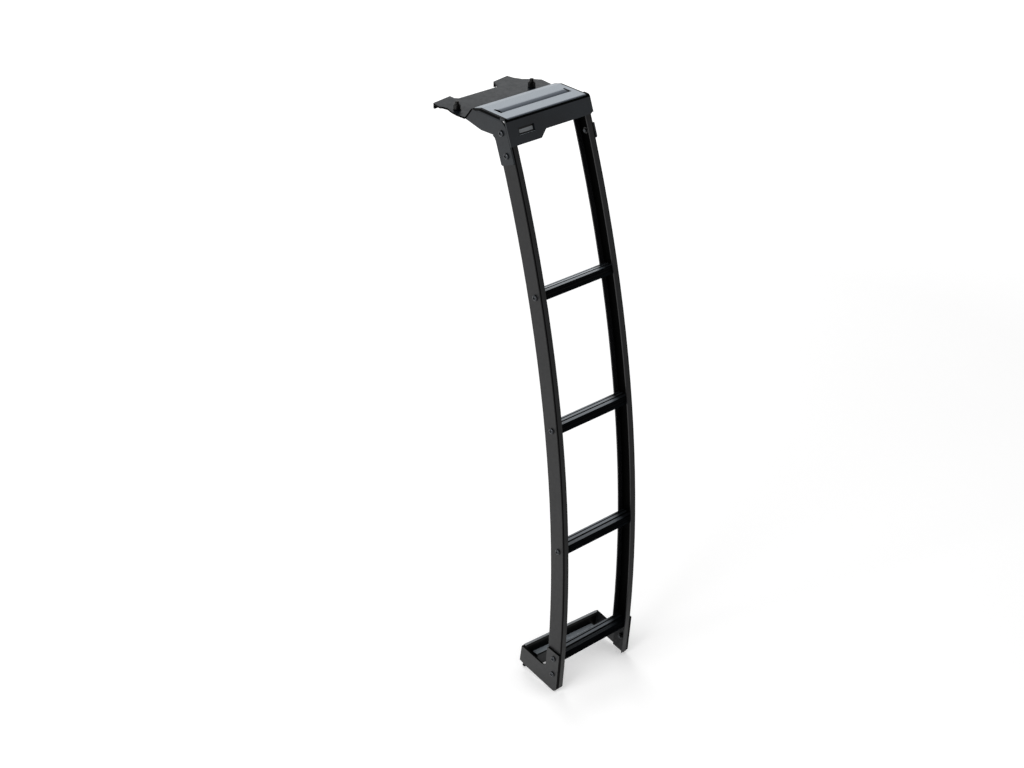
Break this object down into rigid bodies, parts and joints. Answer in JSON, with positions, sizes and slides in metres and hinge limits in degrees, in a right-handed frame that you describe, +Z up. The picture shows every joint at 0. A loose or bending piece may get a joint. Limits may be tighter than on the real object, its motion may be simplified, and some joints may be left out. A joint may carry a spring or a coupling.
{
  "type": "vehicle ladder",
  "caption": "Curved black ladder for the side of a vehicle: channel rails, grooved treads, a folded top step with hooked clamp plate and a folded lower bracket.",
  "frame": {"origin": "flat underside of the clamp plate, midway between its two studs", "axes": "+Z up, +Y towards and over the vehicle, +X to the right for someone facing the ladder"},
  "size_m": [0.265, 0.4452, 1.3501],
  "materials": {
    "powder_coat": "satin",
    "tread_coat": "satin",
    "bracket_coat": "satin",
    "plate_coat": "satin",
    "black_zinc": "satin",
    "edge_rubber": "matte"
  },
  "bodies": {
    "root": {"left_rail": "powder_coat", "right_rail": "powder_coat", "rung_1": "tread_coat", "rung_2": "tread_coat", "rung_3": "tread_coat", "rung_4": "tread_coat", "top_step": "bracket_coat", "badge_plate": "plate_coat", "clamp_plate": "bracket_coat", "clamp_stud_left": "black_zinc", "clamp_stud_right": "black_zinc", "clamp_washer_left": "black_zinc", "clamp_washer_right": "black_zinc", "clamp_nut_left": "black_zinc", "clamp_nut_right": "black_zinc", "lower_bracket": "bracket_coat", "stiffener": "bracket_coat", "edge_trim": "edge_rubber"}
  },
  "joints": []
}
